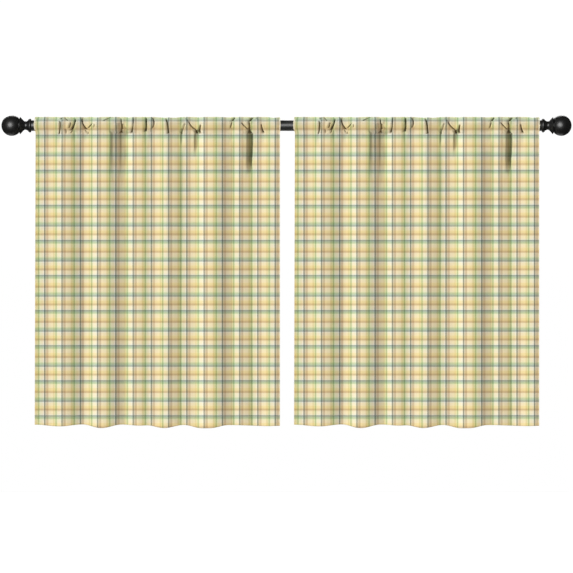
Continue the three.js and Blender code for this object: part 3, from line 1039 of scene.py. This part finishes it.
def cloth_material(name, print_strength):
    """Woven plaid, read from the cloth's own coordinates, with yarns that cross over and under, and with
    shade painted into its colour in the creases, on the steep ledges and along the hem's fold.
    """
    graph = Graph(bpy.data.materials.new(name))
    maths = graph.maths
    place = graph.scaled(graph.add("UVMap", {"uv_map": "Cloth"}), 1 / MM)
    split = graph.add("SeparateXYZ", Vector=place).node
    across, down = split.outputs[0], split.outputs[1]

    def slub(wide, high):
        """How each yarn's tone drifts along its length."""
        wide = maths("DIVIDE", across, wide)
        return graph.noise(graph.add("CombineXYZ", X=wide, Y=maths("DIVIDE", down, high)), 1.0, 3.0)

    warp_slub = slub(YARN_PITCH, SLUB_LENGTH)
    weft_slub = slub(SLUB_LENGTH, YARN_PITCH)
    wander = graph.noise(place, 0.035, 3.0)

    warp_at = maths("ADD", across, FIRST_WARP_BEFORE_PHASE)
    weft_at = maths("SUBTRACT", down, FIRST_WEFT_BELOW_ROD)
    waver = graph.noise(place, 2.2, 2.0)
    warp = graph.stripes(maths("MULTIPLY_ADD", waver, STRIPE_WAVER, warp_at), WARP_REPEAT, WARP)
    weft = graph.stripes(maths("MULTIPLY_ADD", waver, -STRIPE_WAVER, weft_at), WEFT_REPEAT, WEFT)

    # Plain weave: on each crossing either the warp or the weft lies on top.
    wave_across = maths("SINE", maths("MULTIPLY", across, np.pi / YARN_PITCH))
    wave_down = maths("SINE", maths("MULTIPLY", down, np.pi / YARN_PITCH))
    over = maths("MULTIPLY", wave_across, wave_down)
    warp = graph.add("Gamma", Color=warp, Gamma=maths("MULTIPLY_ADD", over, YARN_SHOWS, 1.0))
    weft = graph.add("Gamma", Color=weft, Gamma=maths("MULTIPLY_ADD", over, -YARN_SHOWS, 1.0))
    scale = linear(BRIGHTEST) ** 2 / (linear(CREAM) * FACE_LIGHT)
    colour = graph.vectors("MULTIPLY", graph.vectors("MULTIPLY", warp, weft), tuple(scale))
    if print_strength < 1:
        colour = graph.blend(print_strength, lit(PALE_REVERSE), colour)
    green = graph.add("SeparateXYZ", Vector=colour, output=1)
    red = maths("MAXIMUM", graph.vectors("DOT_PRODUCT", colour, RED_OF_COLOUR, output=1), 0)
    blue = maths("MAXIMUM", graph.vectors("DOT_PRODUCT", colour, BLUE_OF_COLOUR, output=1), 0)
    colour = graph.add("CombineXYZ", X=red, Y=green, Z=blue)

    crossing = maths("ABSOLUTE", over)
    # The edge attribute darkens the colour along the hem's fold as painted shade.
    tone = graph.total(
        0.965, (warp_slub, 0.10), (weft_slub, 0.10), (wander, 0.04), (crossing, 0.09),
        (graph.point_value("edge"), -0.16),
    )
    colour = graph.scaled(colour, tone)
    # Painted shade: the colour darkens towards the shade colour, and the sheen fades, inside the creases
    # and on the steep ledges.
    painted_shade_factor = maths("SMOOTH_MIN", graph.point_value("crease"), 1.0, 0.1)
    deep = graph.vectors("MULTIPLY", colour, PAINTED_SHADE_COLOUR)

    fuzz = graph.noise(place, 3.0, 3.0)
    height = graph.total(crossing, (fuzz, 0.5), (warp_slub, 0.6), (weft_slub, 0.6))
    return graph.finish(
        Base_Color=graph.blend(painted_shade_factor, colour, deep),
        Roughness=graph.total(0.92, (crossing, -0.08)),
        Normal=graph.add("Bump", Strength=0.55, Distance=0.00016, Height=height),
        Specular_IOR_Level=0.25,
        Sheen_Weight=graph.total(0.06, (painted_shade_factor, -0.06)),
        Sheen_Roughness=0.6,
    )


def thread_material():
    graph = Graph(bpy.data.materials.new("sewing_thread"))
    twist = graph.add(
        "TexWave", {"bands_direction": "DIAGONAL"}, output=1,
        Vector=graph.own_place(), Scale=520.0, Distortion=0.4,
    )
    colour = graph.blend(twist, lit(THREAD_LIGHT), lit(THREAD_DARK))
    bump = graph.add("Bump", Strength=0.4, Distance=0.00008, Height=twist)
    return graph.finish(Base_Color=colour, Roughness=0.7, Normal=bump, Specular_IOR_Level=0.35)


def black_paint(name, grain, base):
    """Satin black paint with a fine grain, slightly worn to a lighter tone in patches."""
    graph = Graph(bpy.data.materials.new(name))
    place = graph.own_place()
    fine = graph.noise(place, grain, 3.0)
    patches = graph.noise(place, 28.0, 4.0)
    tone = graph.total(1.0, (patches, 0.5), (fine, 0.35))
    rough = graph.total(0.38, (patches, 0.14), (fine, 0.10))
    bump = graph.add("Bump", Strength=0.22, Distance=0.00025, Height=fine)
    colour = graph.scaled((base, base, 0.96 * base), tone)
    return graph.finish(Base_Color=colour, Roughness=rough, Normal=bump, IOR=1.5)


def floor_material():
    graph = Graph(bpy.data.materials.new("pale_floor"))
    tone = graph.total(0.60, (graph.noise(graph.own_place(), 6.0, 4.0), 0.01))
    colour = graph.add("CombineXYZ", X=tone, Y=tone, Z=tone)
    return graph.finish(Base_Color=colour, Roughness=0.95, Specular_IOR_Level=0.0)


# ---- light, floor and camera

# Far lights: the way from the object to each, its strength, its spread in degrees, and the rays that
# it gives nothing to.
SUNS = (
    ("key", (-0.88, -0.42, 0.30), 3.6, 12, "glossy"),
    ("behind", (0.7, 0.5, 0.3), 1.0, 24, "glossy"),
    ("sparkle", (-0.29, -0.94, 0.13), 4.8, 42, "diffuse"),
    ("sparkle_behind", (-0.1, 0.9, 0.45), 1.4, 34, "diffuse"),
    ("sparkle_below", (-0.1, 0.6, -0.8), 0.3, 34, "diffuse"),
)
FLOOR_HEIGHT = -1.2
FLOOR_CORNERS = ((-9, -9), (9, -9), (9, 9), (-9, 9))
CAMERA_DISTANCE = 15.7
CAMERA_LENS = 400
CAMERA_HEIGHT = -0.397
SKY_BRIGHTER_ABOVE = 0.8


def studio():
    scene = bpy.context.scene
    scene.view_settings.view_transform = "Standard"
    world = bpy.data.worlds.new("white_studio")
    sky = Graph(world)
    background = sky.tree.nodes["Background"]
    sky.put(background.inputs["Color"], (1, 1, 1, 1))
    height = sky.add("SeparateXYZ", Vector=sky.add("TexCoord"), output=2)
    strength = sky.maths("MULTIPLY_ADD", sky.maths("MAXIMUM", height, 0), SKY_BRIGHTER_ABOVE, 1)
    sky.put(background.inputs["Strength"], strength)
    world.cycles_visibility.glossy = False
    scene.world = world

    for name, towards, strength, spread, unlit in SUNS:
        lamp = bpy.data.lights.new(name, "SUN")
        lamp.energy = strength
        lamp.angle = np.radians(spread)
        made = new_object(name, lamp)
        made.rotation_euler = Vector(towards).to_track_quat("Z", "Y").to_euler()
        setattr(made, "visible_" + unlit, False)

    floor = bpy.data.meshes.new("floor")
    floor.from_pydata([(x, y, FLOOR_HEIGHT) for x, y in FLOOR_CORNERS], [], [(0, 1, 2, 3)])
    floor.materials.append(floor_material())
    made = new_object("floor", floor)
    made.visible_glossy = False
    made.visible_shadow = False
    made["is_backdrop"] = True

    camera = bpy.data.cameras.new("camera")
    camera.lens = CAMERA_LENS
    camera.clip_end = 100
    made = new_object("camera", camera)
    made.location = (0, -CAMERA_DISTANCE, CAMERA_HEIGHT)
    made.rotation_euler = (np.pi / 2, 0, 0)
    scene.camera = made


# ---- the part

def build_panels(rod):
    face = cloth_material("plaid_face", 1.0)
    reverse = cloth_material("plaid_reverse", 0.35)
    thread = thread_material()
    grid = panel_grid()
    for node in ("panel_left", "panel_right"):
        low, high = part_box(node)
        centre = (low.x + high.x) / 2 / MM
        cloth = panel_piece(node + "_cloth", grid, centre, [face, reverse])
        stitches = stitches_piece(node + "_stitches", grid, centre, thread)
        belongs(cloth, "plaid_cloth", node)
        belongs(stitches, "plaid_cloth")


def build_rod():
    paint = black_paint("rod_paint", 900, 0.012)
    low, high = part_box("rod")
    half = (high.x - low.x) / 2 / MM
    rod = turned_piece("rod_tube", rod_outline(half), paint, 0, 1)
    return belongs(rod, "rod_paint", "rod")


def build_finials():
    lacquer = black_paint("finial_lacquer", 700, 0.005)
    low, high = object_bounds()
    for side, end, inwards in (("left", low.x / MM, 1), ("right", high.x / MM, -1)):
        for part, outline in (("ball", ball_outline()), ("neck", neck_outline())):
            node = f"finial_{part}_{side}"
            made = turned_piece(node + "_turned", outline, lacquer, end, inwards)
            belongs(made, "finial_lacquer", node)


studio()
build_finials()
build_panels(build_rod())
